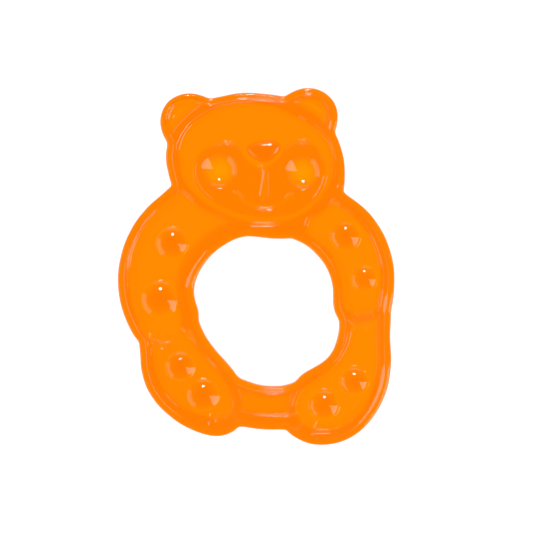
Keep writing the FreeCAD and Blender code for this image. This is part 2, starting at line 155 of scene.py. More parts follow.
HEAD_PANEL = [
    (-23.0, 32.1), (-23.4, 35.5), (-22.7, 38.6), (-20.5, 42.5), (-15.9, 46.3),
    (-9.7, 48.8), (-4.3, 49.8), (1.5, 49.4), (7.4, 48.1), (13.2, 45.2), (18.2, 42.1),
    (21.3, 38.9), (23.0, 35.8), (23.3, 32.4), (22.9, 28.7), (21.6, 25.0), (19.1, 21.2),
    (15.7, 18.0), (11.4, 15.5), (6.7, 14.2), (2.1, 13.9), (-2.9, 14.5), (-8.1, 16.2),
    (-13.4, 18.9), (-17.7, 22.0), (-20.8, 25.4), (-22.6, 28.8),
]
LEFT_EAR_DISH = [
    (-25.8, 48.5), (-24.1, 50.3), (-21.2, 51.1), (-19.0, 50.9), (-17.5, 48.5),
    (-20.3, 45.3), (-23.0, 42.3), (-25.0, 41.4), (-26.6, 43.1), (-26.8, 45.9),
]
RIGHT_EAR_DISH = [
    (13.6, 50.7), (15.8, 51.5), (18.3, 51.2), (20.4, 49.8), (21.5, 47.6),
    (21.2, 45.2), (19.5, 43.6), (16.6, 45.0), (13.4, 47.6), (12.3, 49.4),
]
LEFT_ARM_PANEL = [
    (-22.4, 21.5), (-26.1, 19.0), (-30.5, 15.1), (-33.6, 10.7), (-36.0, 5.8),
    (-37.1, 1.7), (-37.5, -3.2), (-37.2, -7.6), (-36.4, -11.6), (-35.0, -15.7),
    (-33.4, -19.1), (-31.9, -20.9), (-29.2, -21.5), (-26.1, -21.6), (-23.5, -20.9),
    (-21.9, -18.8), (-21.6, -15.0), (-22.2, -10.7), (-22.8, -7.3), (-23.0, -4.5),
    (-22.7, -1.1), (-21.5, 1.7), (-19.2, 5.1), (-16.4, 7.9), (-12.6, 10.3),
    (-8.6, 12.6), (-7.0, 15.3), (-9.7, 19.3), (-15.4, 22.6), (-19.6, 23.2),
]
RIGHT_ARM_PANEL = [
    (23.8, 19.0), (27.3, 17.2), (30.8, 14.4), (34.2, 10.8), (36.6, 6.1), (38.0, 1.2),
    (38.4, -3.3), (37.9, -7.9), (36.8, -11.2), (34.5, -13.0), (31.5, -13.5),
    (29.3, -12.2), (28.5, -8.0), (27.8, -3.8), (26.6, 0.7), (24.6, 4.8), (21.8, 7.9),
    (18.7, 10.2), (17.3, 11.8), (17.9, 13.8), (19.7, 16.0), (21.7, 18.2),
]
LEFT_LEG_PANEL = [
    (-31.4, -23.7), (-31.2, -28.4), (-30.5, -32.1), (-28.9, -36.1), (-26.6, -39.5),
    (-23.6, -42.3), (-20.1, -44.3), (-16.0, -45.7), (-12.2, -46.4), (-9.4, -45.9),
    (-7.9, -43.7), (-8.3, -40.5), (-9.5, -37.0), (-11.6, -33.8), (-14.3, -30.5),
    (-17.7, -26.8), (-19.9, -23.4), (-21.5, -20.0), (-24.3, -17.5), (-28.0, -17.2),
    (-30.6, -19.7),
]
RIGHT_LEG_PANEL = [
    (36.8, -18.4), (37.1, -23.5), (37.1, -28.6), (36.5, -34.5), (34.8, -39.5),
    (31.9, -43.4), (28.4, -46.7), (25.0, -48.5), (21.3, -49.1), (17.6, -48.5),
    (15.0, -46.8), (13.7, -44.3), (14.0, -41.7), (15.3, -39.4), (17.2, -37.6),
    (20.0, -35.9), (23.5, -33.2), (27.0, -29.6), (29.2, -26.0), (30.5, -22.2),
    (30.9, -18.3), (31.4, -15.2), (33.7, -13.6), (36.0, -15.2),
]
BRIDGE_PANEL = [
    (-7.8, -38.6), (-5.0, -38.7), (-1.9, -39.5), (1.2, -40.1), (4.3, -40.5),
    (7.4, -40.4), (11.1, -39.7), (14.0, -39.9), (15.1, -42.6), (14.0, -45.1),
    (11.1, -45.4), (7.4, -45.5), (2.7, -45.3), (-1.9, -44.7), (-5.0, -44.2),
    (-7.8, -43.9), (-8.8, -41.3),
]
MASK = [
    (-14.3, 36.9), (-11.2, 37.9), (-8.1, 38.2), (-6.0, 37.3), (-4.4, 34.5), (-2.2, 31.9),
    (0.1, 30.6), (2.7, 30.5), (5.5, 32.0), (7.9, 34.5), (9.7, 36.9), (12.6, 38.4),
    (16.0, 38.2), (18.5, 36.7), (20.3, 33.9), (21.3, 30.8), (21.3, 27.7), (20.3, 24.5),
    (18.2, 21.3), (15.0, 18.6), (11.2, 16.5), (6.7, 15.4), (1.8, 15.1), (-2.9, 15.8),
    (-6.3, 16.8), (-9.7, 18.2), (-14.2, 20.9), (-17.3, 23.9), (-18.8, 27.0),
    (-19.1, 30.4), (-18.2, 33.4), (-16.5, 35.5),
]
NOSE = [
    (-3.0, 36.5), (-0.8, 38.2), (2.4, 38.9), (5.7, 38.8), (7.6, 37.1), (6.1, 34.3),
    (2.4, 32.3), (-1.4, 34.0),
]
SMILE = [(-6.2, 22.8), (-4.3, 20.5), (-1.0, 19.1), (2.7, 18.5), (5.8, 18.8),
         (8.6, 20.1), (10.6, 22.2)]
CHIN_DOT = (2.3, 16.9)
# grooves between fingers and between toes
CUTS = [((-32.3, -20.6), (-33.2, -24.6)), ((-29.0, -21.0), (-29.2, -25.0)),
        ((-25.6, -20.8), (-24.9, -24.6)), ((-23.2, -19.6), (-20.6, -22.0)),
        ((35.9, -13.3), (37.6, -17.6)), ((33.4, -14.4), (34.2, -18.8)),
        ((30.8, -14.4), (30.4, -18.9)),
        ((-13.9, -45.4), (-14.4, -49.4)), ((-11.4, -45.6), (-11.3, -49.6)),
        ((-8.2, -44.8), (-5.8, -47.4)),
        ((14.6, -44.9), (10.6, -46.3)), ((15.9, -46.8), (12.8, -49.8)),
        ((19.0, -48.0), (17.6, -52.0))]


# ------------------------------------------------------------------ plane geometry
def smooth_loop(points, per=8):
    """Closed curve through the points: periodic cubic spline, `per` samples a span."""
    p = np.array(points, float)
    n = len(p)
    h = np.hypot(*(np.roll(p, -1, 0) - p).T)
    a = np.zeros((n, n))
    b = np.zeros((n, 2))
    for i in range(n):
        hm, hp = h[i - 1], h[i]
        a[i, i - 1] += hm
        a[i, i] += 2 * (hm + hp)
        a[i, (i + 1) % n] += hp
        b[i] = 6 * ((p[(i + 1) % n] - p[i]) / hp - (p[i] - p[i - 1]) / hm)
    m = np.linalg.solve(a, b)
    out = []
    for i in range(n):
        j = (i + 1) % n
        t = (np.arange(per) / per)[:, None]
        hh = h[i]
        out.append((1 - t) * p[i] + t * p[j] + hh * hh / 6 * (
            ((1 - t) ** 3 - (1 - t)) * m[i] + (t ** 3 - t) * m[j]))
    return np.concatenate(out)


def segment_distance(pts, a, b):
    """Least distance of each point to the segments a-b."""
    out = np.empty(len(pts))
    d = (b - a).astype(np.float32)
    a = a.astype(np.float32)
    dd = np.maximum((d * d).sum(1), 1e-12)
    step = max(1, 4000000 // len(a))
    for i in range(0, len(pts), step):
        q = pts[i:i + step].astype(np.float32)
        rx = q[:, 0:1] - a[None, :, 0]
        ry = q[:, 1:2] - a[None, :, 1]
        t = np.clip((rx * d[:, 0] + ry * d[:, 1]) / dd, 0, 1)
        rx -= t * d[:, 0]
        ry -= t * d[:, 1]
        out[i:i + step] = np.sqrt((rx * rx + ry * ry).min(1))
    return out


def inside(pts, loop):
    """Even-odd test."""
    hit = np.zeros(len(pts), bool)
    x, y = pts[:, 0], pts[:, 1]
    a, b = loop, np.roll(loop, -1, 0)
    for (ax, ay), (bx, by) in zip(a, b):
        if ay == by:
            continue
        cross = (ay > y) != (by > y)
        if cross.any():
            xi = ax + (y[cross] - ay) * (bx - ax) / (by - ay)
            hit[cross] ^= x[cross] < xi
    return hit


G = 0.25                                    # spacing of the helper grid
GX = np.arange(-47.0, 47.01, G)
GY = np.arange(-60.0, 60.01, G)
XX, YY = np.meshgrid(GX, GY)
FAR = 6.0


def loop_field(loops, margin=FAR):
    """Signed distance to closed loops on the helper grid, negative inside."""
    allp = np.concatenate(loops)
    lo, hi = allp.min(0) - margin, allp.max(0) + margin
    f = np.full(XX.shape, margin)
    m = (XX >= lo[0]) & (XX <= hi[0]) & (YY >= lo[1]) & (YY <= hi[1])
    pts = np.stack([XX[m], YY[m]], 1)
    a = np.concatenate(loops)
    b = np.concatenate([np.roll(l, -1, 0) for l in loops])
    dist = segment_distance(pts, a, b)
    ins = np.zeros(len(pts), bool)
    for l in loops:
        ins ^= inside(pts, l)
    f[m] = np.where(ins, -dist, np.minimum(dist, margin))
    return f


def sample(f, x, y):
    """Cubic (Catmull-Rom) look-up of a helper-grid field."""
    u = np.clip((x - GX[0]) / G, 1.001, len(GX) - 3.001)
    v = np.clip((y - GY[0]) / G, 1.001, len(GY) - 3.001)
    iu, iv = np.floor(u).astype(int), np.floor(v).astype(int)
    fu, fv = u - iu, v - iv

    def weights(t):
        return (-0.5 * t + t * t - 0.5 * t ** 3, 1 - 2.5 * t * t + 1.5 * t ** 3,
                0.5 * t + 2 * t * t - 1.5 * t ** 3, -0.5 * t * t + 0.5 * t ** 3)

    wu, wv = weights(fu), weights(fv)
    out = np.zeros(np.shape(x))
    for j in range(4):
        row = np.zeros(np.shape(x))
        for i in range(4):
            row += wu[i] * f[iv + j - 1, iu + i - 1]
        out += wv[j] * row
    return out


def smin(a, b, k):
    h = np.maximum(k - np.abs(a - b), 0) / k
    return np.minimum(a, b) - h * h * k / 4


def smax(a, b, k):
    return -smin(-a, -b, k)


def ease(t):
    t = np.clip(t, 0, 1)
    return t * t * (3 - 2 * t)


def march(f, level=0.0):
    """Closed contours of a helper-grid field at a level."""
    g = f - level
    ny, nx = g.shape
    sgn = g < 0
    code = (sgn[:-1, :-1] * 1 + sgn[:-1, 1:] * 2 + sgn[1:, 1:] * 4 + sgn[1:, :-1] * 8)
    js, is_ = np.nonzero((code > 0) & (code < 15))
    nxt = {}

    def cut(j0, i0, j1, i1):
        a, b = g[j0, i0], g[j1, i1]
        t = a / (a - b)
        return (GX[i0] + t * (GX[i1] - GX[i0]), GY[j0] + t * (GY[j1] - GY[j0]))

    pos = {}
    for j, i in zip(js, is_):
        edges = []
        for e, (j0, i0, j1, i1) in enumerate(((j, i, j, i + 1), (j, i + 1, j + 1, i + 1),
                                              (j + 1, i, j + 1, i + 1), (j, i, j + 1, i))):
            if sgn[j0, i0] != sgn[j1, i1]:
                key = (j0, i0, j1, i1)
                if key not in pos:
                    pos[key] = cut(j0, i0, j1, i1)
                edges.append(key)
        for k in range(0, len(edges), 2):
            a, b = edges[k], edges[k + 1]
            nxt.setdefault(a, []).append(b)
            nxt.setdefault(b, []).append(a)
    loops, seen = [], set()
    for start in nxt:
        if start in seen:
            continue
        loop, prev, cur = [], None, start
        while cur not in seen:
            seen.add(cur)
            loop.append(pos[cur])
            step = [k for k in nxt[cur] if k != prev and k not in seen]
            if not step:
                break
            prev, cur = cur, step[0]
        if len(loop) > 40:
            loops.append(np.array(loop))
    return loops


def resample(loop, step, rounds=0):
    """Evenly spaced points along a closed loop, optionally smoothed."""
    p = loop
    for _ in range(rounds):
        p = 0.25 * np.roll(p, 1, 0) + 0.5 * p + 0.25 * np.roll(p, -1, 0)
    q = np.vstack([p, p[:1]])
    s = np.concatenate([[0], np.cumsum(np.hypot(*np.diff(q, axis=0).T))])
    n = max(8, int(round(s[-1] / step)))
    t = np.linspace(0, s[-1], n, endpoint=False)
    return np.stack([np.interp(t, s, q[:, 0]), np.interp(t, s, q[:, 1])], 1)


def loop_area(l):
    m = np.roll(l, -1, 0)
    return 0.5 * float((l[:, 0] * m[:, 1] - m[:, 0] * l[:, 1]).sum())


# ------------------------------------------------------------------ fields
F = {}
for name, pts in (("head", HEAD), ("left_ear", LEFT_EAR), ("right_ear", RIGHT_EAR),
                  ("neck", NECK), ("left_arm", LEFT_ARM), ("right_arm", RIGHT_ARM),
                  ("left_leg", LEFT_LEG), ("right_leg", RIGHT_LEG), ("bridge", BRIDGE),
                  ("p_head", HEAD_PANEL), ("p_left_ear", LEFT_EAR_DISH),
                  ("p_right_ear", RIGHT_EAR_DISH), ("p_left_arm", LEFT_ARM_PANEL),
                  ("p_right_arm", RIGHT_ARM_PANEL), ("p_left_leg", LEFT_LEG_PANEL),
                  ("p_right_leg", RIGHT_LEG_PANEL), ("p_bridge", BRIDGE_PANEL),
                  ("mask", MASK), ("nose", NOSE)):
    F[name] = loop_field([smooth_loop(pts)])

union = F["head"]
for name in ("left_ear", "right_ear", "neck", "left_arm", "right_arm", "left_leg",
             "right_leg", "bridge"):
    union = smin(union, F[name], 1.0)
contours = sorted((resample(l, 0.2, 3) for l in march(union)), key=lambda l: -abs(loop_area(l)))
if len(contours) != 2:
    raise ValueError("the outline should be one loop round one hole, not %d loops" % len(contours))
OUTER, HOLE = contours
F["edge"] = loop_field([OUTER, HOLE], 2.0)     # distance to the nearest edge
F["hole"] = loop_field([HOLE], 14.0)           # positive outside the hand hole
F["outer"] = loop_field([OUTER], 2.0)


def line_distance(x, y, p, q):
    px, py = q[0] - p[0], q[1] - p[1]
    t = np.clip(((x - p[0]) * px + (y - p[1]) * py) / (px * px + py * py), 0, 1)
    return np.hypot(x - p[0] - t * px, y - p[1] - t * py), t


def path_distance(x, y, pts):
    p = np.array(pts, float)
    # open smooth curve: Catmull-Rom through the points
    e = np.vstack([2 * p[0] - p[1], p, 2 * p[-1] - p[-2]])
    fine = []
    for i in range(1, len(e) - 2):
        for t in np.arange(0, 1, 0.125):
            fine.append(0.5 * (2 * e[i] + (e[i + 1] - e[i - 1]) * t
                               + (2 * e[i - 1] - 5 * e[i] + 4 * e[i + 1] - e[i + 2]) * t * t
                               + (3 * e[i] - e[i - 1] - 3 * e[i + 1] + e[i + 2]) * t ** 3))
    fine = np.array(fine + [p[-1]])
    return segment_distance(np.stack([x, y], 1), fine[:-1], fine[1:])


def recess(q, depth, angle=45.0, fillet=0.35):
    """How far the face lies below the rim: 0 on the rim, depth on the panel floor. q is 0
    where the floor starts. The step is a straight slope between two fillets."""
    a = math.radians(angle)
    x1, y1 = fillet * math.sin(a), fillet * (1 - math.cos(a))
    ws = (depth - 2 * y1) / math.tan(a)
    w = 2 * x1 + ws
    qc = np.clip(q, 0, w)
    low = fillet - np.sqrt(np.maximum(fillet ** 2 - np.minimum(qc, x1) ** 2, 0))
    mid = y1 + (qc - x1) * math.tan(a)
    top = depth - (fillet - np.sqrt(np.maximum(fillet ** 2 - np.minimum(w - qc, x1) ** 2, 0)))
    h = np.where(qc < x1, low, np.where(qc < x1 + ws, mid, top))
    return depth - h


def rim_shape(x, y, d_out, d_hole):
    """Crest distance, lip tilt and edge radius: gentler along the left and the lower side of
    the hand hole."""
    wide = ease((d_out - d_hole + 1.0) / 2.0) * ease((14.0 - x) / 6.0) * ease((2.0 - y) / 6.0)
    # the outer side of the right limbs has the same gentle bead
    wide = np.maximum(wide, ease((d_hole - d_out) / 2.0) * ease((x - 27.0) / 6.0) * ease((16.0 - y) / 6.0))
    return (CREST + (CREST_WIDE - CREST) * wide, LIP_TILT + (LIP_TILT_WIDE - LIP_TILT) * wide,
            EDGE_R + (EDGE_R_WIDE - EDGE_R) * wide)


def relief(x, y):
    """Height of the face side without the rounding of the outer edge."""
    s = {k: sample(v, x, y) for k, v in F.items()}
    d = -s["edge"]
    d_hole = s["hole"]
    d_out = -s["outer"]

    # rims: a low lip along the edge, then a rounded bead
    crest, lip, _ = rim_shape(x, y, d_out, d_hole)
    r = (crest - CREASE) / math.sin(BEAD_TILT)
    u = np.clip(crest - d, 0, crest - CREASE)
    bead = RIM - (r - np.sqrt(r * r - u * u))
    slope_ = RIM - (r - r * math.cos(BEAD_TILT)) - np.tan(lip) * (CREASE - d)
    top = np.where(d > CREASE + 0.3, bead, smax(np.where(d < CREASE, slope_ - 0.0 * d, bead),
                                                slope_, 0.05))
    top = np.where(d < CREASE - 0.2, slope_, top)

    def panel(body, q, over, angle=45.0, fillet=0.35):
        """The body's recessed panel, cut off where a neighbour laps over the body."""
        for o in over:
            q = smax(q, -s[o], 0.3)
        return recess(q, RIM - FLOOR[body], angle, fillet)

    q_arm = smax(s["p_left_arm"] - 1.5, (7.0 - d_hole) * 0.5, 0.4)
    cut = panel("left_arm", q_arm, ("head", "neck"))
    q_arm = smax(s["p_right_arm"] - 1.2, 4.75 - d_out, 0.4)
    cut = np.maximum(cut, panel("right_arm", q_arm, ("head", "neck"), 45.0, 0.4))
    q_leg = smax(s["p_left_leg"] - 0.4, 3.95 - d_hole, 0.4)
    cut = np.maximum(cut, panel("left_leg", q_leg, ("left_arm",)))
    q_leg = smax(s["p_right_leg"] - 1.2, 4.8 - d_out, 0.4)
    cut = np.maximum(cut, panel("right_leg", q_leg, ("right_arm",), 47.0, 0.4))
    cut = np.maximum(cut, panel("bridge", s["p_bridge"], ("left_leg", "right_leg"), 47.0, 0.3))
    cut = np.maximum(cut, recess(s["p_head"] - 0.2, RIM - FLOOR["head"], 45.0, 0.4))
    for e in ("left_ear", "right_ear"):
        q = smax(s["p_" + e] + 0.1, 0.8 - s["head"], 0.5)
        bowl = recess(q, 1.2, 44.0, 0.4) + (0.7 if e == "left_ear" else 3.3) * ease(-q / 2.8)
        cut = np.maximum(cut, bowl)
    top = top - cut

    # muzzle mask on the face panel
    mask = ease((0.75 - s["mask"]) / 1.6)
    top = np.where(s["p_head"] < 2.0, np.maximum(top, top + 0 * mask), top)
    top = top + mask * np.clip(MASK_TOP - top, 0, None)
    for ex, ey, big in EYES:
        rho = np.hypot(x - ex, y - ey)
        bowl = MASK_TOP + big * math.cos(EYE_TILT) - np.sqrt(np.maximum(big * big - rho * rho, 1.0))
        bowl = np.where(rho < 0.93 * big, bowl, 99.0)
        top = smin(top, bowl, 0.5)
    # smile, groove under the nose, chin dot
    near = (np.abs(x - 2.2) < 12) & (y > 14) & (y < 32)
    if near.any():
        xn, yn = x[near], y[near]
        g = 0.85 * np.exp(-(path_distance(xn, yn, SMILE) / 0.72) ** 2)
        dist, t = line_distance(xn, yn, (3.1, 29.3), (2.4, 21.8))
        half = 0.75 + 0.6 * t
        g = np.maximum(g, 0.38 * ease((half + 0.35 - dist) / 0.7))
        g = g + 0.35 * np.exp(-(np.hypot(xn - CHIN_DOT[0], yn - CHIN_DOT[1]) / 0.5) ** 2)
        top[near] -= g
    # nose
    k = np.clip(-s["nose"] / 2.7, 0, 1)
    nose = FLOOR["head"] + 2.05 * np.sqrt(np.clip(1 - (1 - k) ** 2, 0, 1)) - 0.0
    nose = np.where(s["nose"] < 0.0, nose, FLOOR["head"] - 2.0 * s["nose"])
    top = smax(top, nose, 0.35)
    # nubs
    for nx_, ny_, rad, high in NUBS:
        rho = np.hypot(x - nx_, y - ny_)
        m = rho < 8.5
        if not m.any():
            continue
        base = FLOOR["left_arm"] if nx_ < 0 else FLOOR["right_arm"]
        crown = base + high
        capz = crown - (rad - np.sqrt(np.maximum(rad * rad - rho[m] ** 2, 0.02 * rad * rad)))
        top[m] = smax(top[m], capz, 0.4)
    # fingers and toes
    for p, q in CUTS:
        m = (np.abs(x - 0.5 * (p[0] + q[0])) < 5) & (np.abs(y - 0.5 * (p[1] + q[1])) < 5)
        if m.any():
            dist, t = line_distance(x[m], y[m], p, q)
            top[m] -= 0.32 * np.exp(-(dist / 0.5) ** 2) * ease((d[m] - 0.3) / 1.2)
    return top


def back(x, y):
    """Height of the back side: shallow recesses that leave a wider rim."""
    s = {k: sample(F[k], x, y) for k in ("head", "neck", "left_arm", "right_arm", "p_head",
                                         "p_left_arm", "p_right_arm", "p_left_leg",
                                         "p_right_leg", "left_leg", "right_leg", "p_bridge")}
    z = np.zeros(np.shape(x))
    for name, over in (("p_head", ()), ("p_left_arm", ("head", "neck")),
                       ("p_right_arm", ("head", "neck")), ("p_left_leg", ("left_arm",)),
                       ("p_right_leg", ("right_arm",)), ("p_bridge", ("left_leg", "right_leg"))):
        q = s[name] + BACK_INSET
        for o in over:
            q = smax(q, BACK_INSET - s[o], 0.4)
        z = np.maximum(z, BACK_DEPTH * ease((0.9 - q) / 0.9))
    for nx_, ny_, rad, high in NUBS:
        base_r = math.sqrt(rad * rad - (rad - high) ** 2)
        z = z + NUB_HOLLOW * ease((base_r + 0.3 - np.hypot(x - nx_, y - ny_)) / 2.6)
    return z


def slope(fn, x, y, e=0.05):
    return ((fn(x + e, y) - fn(x - e, y)) / (2 * e), (fn(x, y + e) - fn(x, y - e)) / (2 * e))


# ------------------------------------------------------------------ mesh
def edge_points(loop, outward_sign):
    """Points along the edge, spaced so that the strip's inner line stays fine too,
    with the inward direction at each."""
    fine = resample(loop, 0.06, 0)
    t = np.roll(fine, -4, 0) - np.roll(fine, 4, 0)
    t /= np.hypot(t[:, 0], t[:, 1])[:, None]
    n = np.stack([-t[:, 1], t[:, 0]], 1) * outward_sign   # points into the material
    for _ in range(12):
        n = 0.25 * np.roll(n, 1, 0) + 0.5 * n + 0.25 * np.roll(n, -1, 0)
    n /= np.hypot(n[:, 0], n[:, 1])[:, None]
    inner = fine + n * RING_IN
    ds = np.maximum(np.hypot(*(np.roll(fine, -1, 0) - fine).T),
                    np.hypot(*(np.roll(inner, -1, 0) - inner).T))
    s = np.concatenate([[0], np.cumsum(ds)])
    cnt = int(round(s[-1] / EDGE_STEP))
    at = np.linspace(0, s[-1], cnt, endpoint=False)
    q = np.vstack([fine, fine[:1]])
    m = np.vstack([n, n[:1]])
    p = np.stack([np.interp(at, s, q[:, k]) for k in (0, 1)], 1)
    v = np.stack([np.interp(at, s, m[:, k]) for k in (0, 1)], 1)
    return p, v / np.hypot(v[:, 0], v[:, 1])[:, None]


EDGE_STEP = 0.54
FINE, COARSE = ((0.31, 0.80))


def lattice(step):
    ys = np.arange(-58, 58, step * math.sqrt(3) / 2)
    rows = []
    for k, yy in enumerate(ys):
        xs = np.arange(-46, 46, step) + (0.5 * step if k % 2 else 0.0)
        rows.append(np.stack([xs, np.full(len(xs), yy)], 1))
    return np.concatenate(rows)


verts, normals, faces = [], [], []


def add(block, nrm):
    start = sum(len(v) for v in verts)
    verts.append(block)
    normals.append(nrm)
    return start


def stitch(a, b, n, flip):
    """Quads between two rings of n points that start at vertex a and b."""
    i = np.arange(n)
    j = (i + 1) % n
    f = np.stack([a + i, a + j, b + j, b + i], 1)
    faces.append(f[:, ::-1] if flip else f)


rings_top, rings_back = [], []
for loop in (OUTER, HOLE):
    solid_side = 1.0 if loop is OUTER else -1.0
    sign = solid_side if loop_area(loop) > 0 else -solid_side
    p, n_in = edge_points(loop, sign)
    cnt = len(p)
    out_p, hole_p = -sample(F["outer"], p[:, 0], p[:, 1]), sample(F["hole"], p[:, 0], p[:, 1])
    _, lip_p, rad_p = rim_shape(p[:, 0], p[:, 1], out_p, hole_p)
    lip_in = 0.10 + rad_p * (1 - np.sin(lip_p))         # where the lip meets the rounding
    q0 = p + n_in * lip_in[:, None]
    z0 = relief(q0[:, 0], q0[:, 1])
    gx0, gy0 = slope(relief, q0[:, 0], q0[:, 1])
    prof = [("lip", 1.0), ("lip", 0.66), ("lip", 0.33)]
    prof += [("round", k / 11.0) for k in range(12)]
    for zz, ins in ((5.6, 0.075), (4.72, 0.06), (4.58, 0.022), (4.5, 0.004), (4.42, 0.022),
                    (4.28, 0.06), (3.2, 0.075)):
        prof.append(("wall", ins, zz))
    for a in np.linspace(90, 0, 4):
        tl = math.radians(a)
        prof.append(("back", 0.10 + BACK_R * (1 - math.sin(tl)), BACK_R * (1 - math.cos(tl)), -tl))
    prof.append(("back", RING_IN, 0.0, -0.0))
    starts = []
    for step in prof:
        kind = step[0]
        if kind == "lip":
            q = p + n_in * (lip_in + (RING_IN - lip_in) * step[1])[:, None]
            z = relief(q[:, 0], q[:, 1])
            gx, gy = slope(relief, q[:, 0], q[:, 1])
            nr = np.stack([-gx, -gy, np.ones(cnt)], 1)
        elif kind == "round":
            tl = lip_p + (math.pi / 2 - lip_p) * step[1]
            q = p + n_in * (0.10 + rad_p * (1 - np.sin(tl)))[:, None]
            z = z0 - rad_p * (np.cos(lip_p) - np.cos(tl))
            # the slope along the edge comes from the relief, across it from the rounding
            along = gx0 * -n_in[:, 1] + gy0 * n_in[:, 0]
            c = np.cos(tl)
            nr = np.stack([-n_in[:, 0] * np.sin(tl) + n_in[:, 1] * along * c,
                           -n_in[:, 1] * np.sin(tl) - n_in[:, 0] * along * c, c], 1)
        elif kind == "wall":
            q = p + n_in * step[1]
            z = np.full(cnt, step[2])
            nr = np.stack([-n_in[:, 0], -n_in[:, 1], np.zeros(cnt)], 1)
        else:
            q = p + n_in * step[1]
            z = np.full(cnt, step[2])
            c, s_ = math.cos(step[3]), math.sin(-step[3])
            nr = np.stack([-n_in[:, 0] * s_, -n_in[:, 1] * s_, np.full(cnt, -c)], 1)
        nr /= np.linalg.norm(nr, axis=1)[:, None]
        starts.append(add(np.column_stack([q, z]), nr))
    ccw = loop_area(loop) > 0
    for a, b in zip(starts[:-1], starts[1:]):
        stitch(a, b, cnt, flip=(ccw == (loop is OUTER)))
    rings_top.append((starts[0], cnt, p + n_in * RING_IN))
    rings_back.append((starts[-1], cnt, p + n_in * RING_IN))


def thin(pts, gap):
    """Drops points that lie closer than the gap to an earlier one."""
    kept, cell = [], {}
    for q in pts.tolist():
        a, b = int(math.floor(q[0] / gap)), int(math.floor(q[1] / gap))
        clash = False
        for da in (-1, 0, 1):
            for db in (-1, 0, 1):
                for m in cell.get((a + da, b + db), ()):
                    if (m[0] - q[0]) ** 2 + (m[1] - q[1]) ** 2 < gap * gap:
                        clash = True
        if not clash:
            cell.setdefault((a, b), []).append(q)
            kept.append(q)
    return np.array(kept)


def panel_fields():
    """The same step fields as in relief(), on the helper grid."""
    x, y = XX, YY
    d_out, d_hole = -F["outer"], F["hole"]
    rows = []
    for name, q, over, body in (
            ("left_arm", smax(F["p_left_arm"] - 1.5, (7.0 - d_hole) * 0.5, 0.4), ("head", "neck"), 1),
            ("right_arm", smax(F["p_right_arm"] - 1.2, 4.75 - d_out, 0.4), ("head", "neck"), 1),
            ("left_leg", smax(F["p_left_leg"] - 0.4, 3.95 - d_hole, 0.4), ("left_arm",), 1),
            ("right_leg", smax(F["p_right_leg"] - 1.2, 4.8 - d_out, 0.4), ("right_arm",), 1),
            ("bridge", F["p_bridge"], ("left_leg", "right_leg"), 1),
            ("head", F["p_head"] - 0.2, (), 1)):
        for o in over:
            q = smax(q, -F[o], 0.3)
        rows.append((name, q))
    return rows


ROW_STEP = 0.36
FEATURES = [(F["edge"], (-1.95, -2.06, -2.25, -2.5, -2.75), None)]
for name, q in panel_fields():
    levels = (0.0, 0.22, 0.45, 0.68, 0.9, 1.12, 1.34) if name != "bridge" else (0.0, 0.2, 0.4, 0.6, 0.8)
    FEATURES.append((q, levels, None))
FEATURES.append((F["mask"], (-0.85, -0.6, -0.35, -0.1, 0.15, 0.45, 0.75), None))
FEATURES.append((F["nose"], (-0.9, -0.45, -0.15, 0.0, 0.2), None))
for ex, ey, big in EYES:
    FEATURES.append((np.hypot(XX - ex, YY - ey) - big * math.sin(EYE_TILT),
                     (-0.45, -0.2, 0.0, 0.2), None))
for nx_, ny_, rad, high in NUBS:
    base_r = math.sqrt(max(rad * rad - (rad - high) ** 2, 0.1))
    FEATURES.append((np.hypot(XX - nx_, YY - ny_) - base_r, (-0.4, -0.15, 0.1, 0.35), None))


